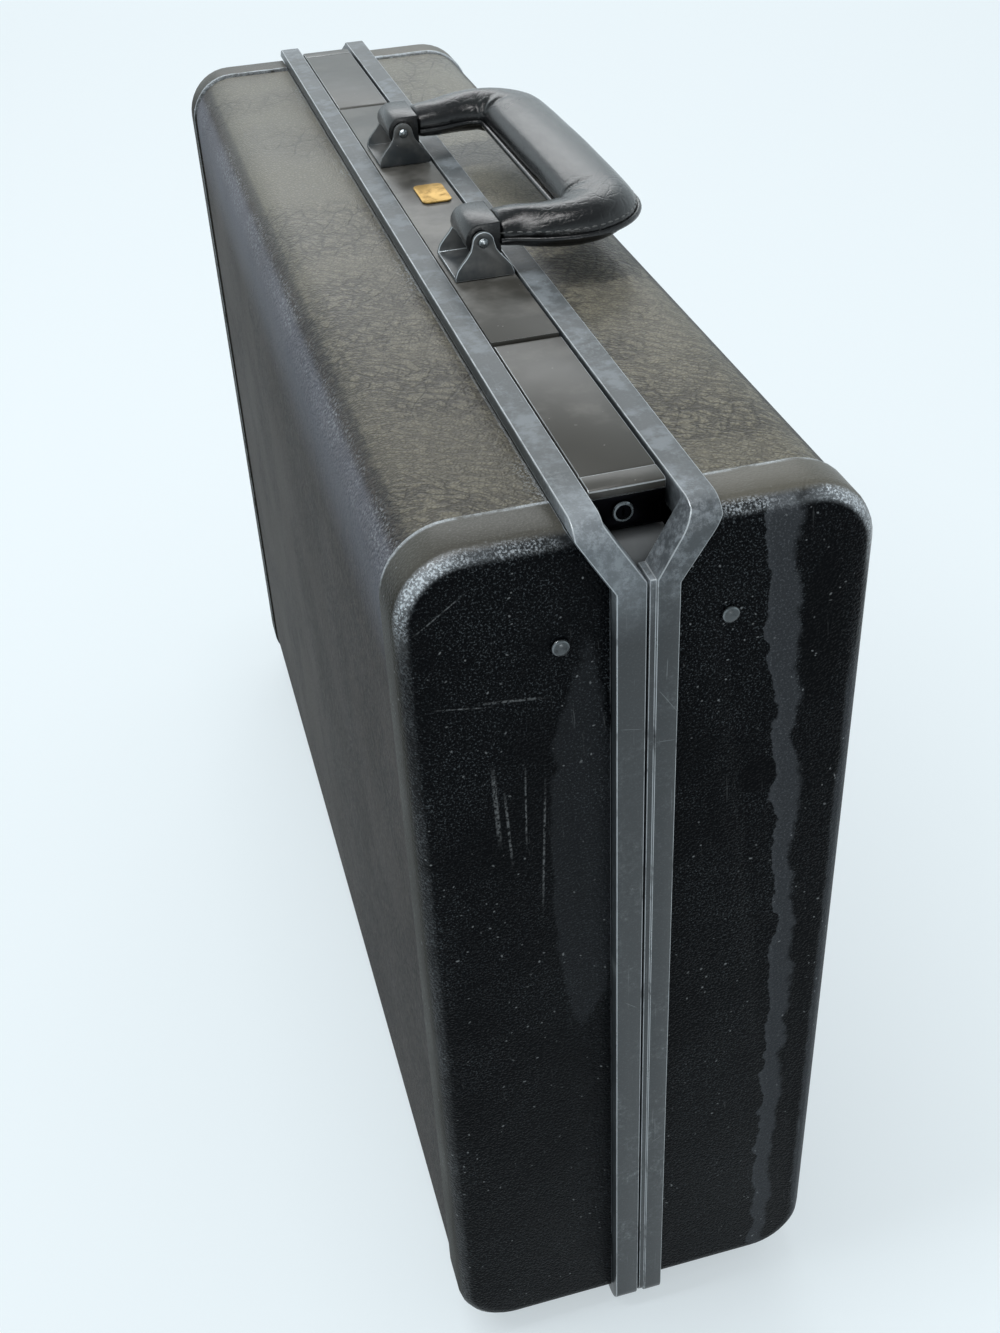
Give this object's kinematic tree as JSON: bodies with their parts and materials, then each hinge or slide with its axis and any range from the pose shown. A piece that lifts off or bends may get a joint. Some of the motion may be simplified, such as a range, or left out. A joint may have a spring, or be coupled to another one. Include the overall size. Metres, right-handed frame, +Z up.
{
  "type": "briefcase",
  "caption": "Hard-sided attache case standing on its hinge edge, with hinged lid, lever latches, folding carry handle and folding lid stays.",
  "frame": {"origin": "on the floor, under the middle of the closed case", "axes": "+Z up from the floor edge to the handle edge, +Y along the length, +X from the base half to the lid half"},
  "size_m": [0.1324, 0.467, 0.3648],
  "materials": {
    "grained_vinyl": "satin grained black vinyl",
    "pebble_vinyl": "glossy pebbled black vinyl, worn",
    "frame_metal": "satin dark grey, scuffed",
    "satin_black": "satin black",
    "bracket_metal": "black paint with bright worn edges",
    "bright_steel": "plated steel",
    "handle_leather": "smooth glossy black",
    "lining_cloth": "matte dark cloth",
    "pocket_vinyl": "matte black",
    "foot_plastic": "matte black",
    "badge_brass": "satin gilt"
  },
  "bodies": {
    "base": {"base_panel": "grained_vinyl", "base_end_cap_near": "pebble_vinyl", "base_end_cap_far": "pebble_vinyl", "base_frame": "frame_metal", "base_lining": "lining_cloth", "centre_bar": "satin_black", "corner_web_near": "bracket_metal", "corner_web_far": "bracket_metal", "handle_bracket_near": "bracket_metal", "handle_bracket_far": "bracket_metal", "handle_pin_near": "bright_steel", "handle_pin_far": "bright_steel", "latch_pin_near": "bright_steel", "latch_pin_far": "bright_steel", "latch_spring_near": "bright_steel", "latch_spring_far": "bright_steel", "lock_barrel_near": "bracket_metal", "lock_barrel_far": "bracket_metal", "hinge_leaf_base_near": "bright_steel", "hinge_leaf_base_far": "bright_steel", "hinge_pin_near": "bright_steel", "hinge_pin_far": "bright_steel", "base_stay_rivet_near": "bright_steel", "base_stay_rivet_far": "bright_steel", "base_foot_near": "foot_plastic", "base_foot_far": "foot_plastic", "badge_tab": "badge_brass"},
    "lid": {"lid_panel": "grained_vinyl", "lid_end_cap_near": "pebble_vinyl", "lid_end_cap_far": "pebble_vinyl", "lid_frame": "frame_metal", "lid_lining": "lining_cloth", "latch_catch_near": "bright_steel", "latch_catch_far": "bright_steel", "hinge_leaf_lid_near": "bright_steel", "hinge_leaf_lid_far": "bright_steel", "lid_stay_rivet_near": "bright_steel", "lid_stay_rivet_far": "bright_steel", "lid_foot_near": "foot_plastic", "lid_foot_far": "foot_plastic", "lid_document_pocket": "pocket_vinyl"},
    "handle": {"handle_grip": "handle_leather", "handle_end_near": "handle_leather", "handle_end_far": "handle_leather"},
    "latch_near": {"latch_lever_near": "satin_black", "latch_hook_near": "bright_steel"},
    "latch_far": {"latch_lever_far": "satin_black", "latch_hook_far": "bright_steel"},
    "plug_near": {"lock_plug_near": "bracket_metal"},
    "plug_far": {"lock_plug_far": "bracket_metal"},
    "base_stay_near": {"stay_arm_base_near": "bright_steel", "stay_elbow_rivet_near": "bright_steel"},
    "base_stay_far": {"stay_arm_base_far": "bright_steel", "stay_elbow_rivet_far": "bright_steel"},
    "lid_stay_near": {"stay_arm_lid_near": "bright_steel"},
    "lid_stay_far": {"stay_arm_lid_far": "bright_steel"}
  },
  "joints": [
    {"name": "lid_hinge", "type": "hinge", "parent": "base", "child": "lid", "pos_m": [0.0005, 0, 0.003], "axis": [0, 1, 0], "range_deg": [0, 90]},
    {"name": "handle_swing", "type": "hinge", "parent": "base", "child": "handle", "pos_m": [-0.0001, -0.003, 0.3571], "axis": [0, -1, 0], "range_deg": [0, 178]},
    {"name": "latch_near_lift", "type": "hinge", "parent": "base", "child": "latch_near", "pos_m": [0, -0.1265, 0.3414], "axis": [-1, 0, 0], "range_deg": [0, 60]},
    {"name": "latch_far_lift", "type": "hinge", "parent": "base", "child": "latch_far", "pos_m": [0, 0.1265, 0.3414], "axis": [1, 0, 0], "range_deg": [0, 60]},
    {"name": "plug_near_turn", "type": "hinge", "parent": "base", "child": "plug_near", "pos_m": [-0.0015, -0.213, 0.337], "axis": [0, 1, 0], "range_deg": [0, 90]},
    {"name": "plug_far_turn", "type": "hinge", "parent": "base", "child": "plug_far", "pos_m": [-0.0015, 0.213, 0.337], "axis": [0, -1, 0], "range_deg": [0, 90]},
    {"name": "base_stay_near_fold", "type": "hinge", "parent": "base", "child": "base_stay_near", "pos_m": [-0.0231, -0.2207, 0.3079], "axis": [0, 1, 0], "range_deg": [-39.4, 0]},
    {"name": "lid_stay_near_fold", "type": "hinge", "parent": "lid", "child": "lid_stay_near", "pos_m": [0.0241, -0.2188, 0.3079], "axis": [0, 1, 0], "range_deg": [0, 39.4]},
    {"name": "base_stay_far_fold", "type": "hinge", "parent": "base", "child": "base_stay_far", "pos_m": [-0.0231, 0.2207, 0.3079], "axis": [0, 1, 0], "range_deg": [-39.4, 0]},
    {"name": "lid_stay_far_fold", "type": "hinge", "parent": "lid", "child": "lid_stay_far", "pos_m": [0.0241, 0.2188, 0.3079], "axis": [0, 1, 0], "range_deg": [0, 39.4]}
  ],
  "couplings": [
    {"joint": "base_stay_near_fold", "follows": "lid_hinge", "ratio": -0.43521},
    {"joint": "lid_stay_near_fold", "follows": "lid_hinge", "ratio": 0.43521},
    {"joint": "base_stay_far_fold", "follows": "lid_hinge", "ratio": -0.43521},
    {"joint": "lid_stay_far_fold", "follows": "lid_hinge", "ratio": 0.43521}
  ]
}
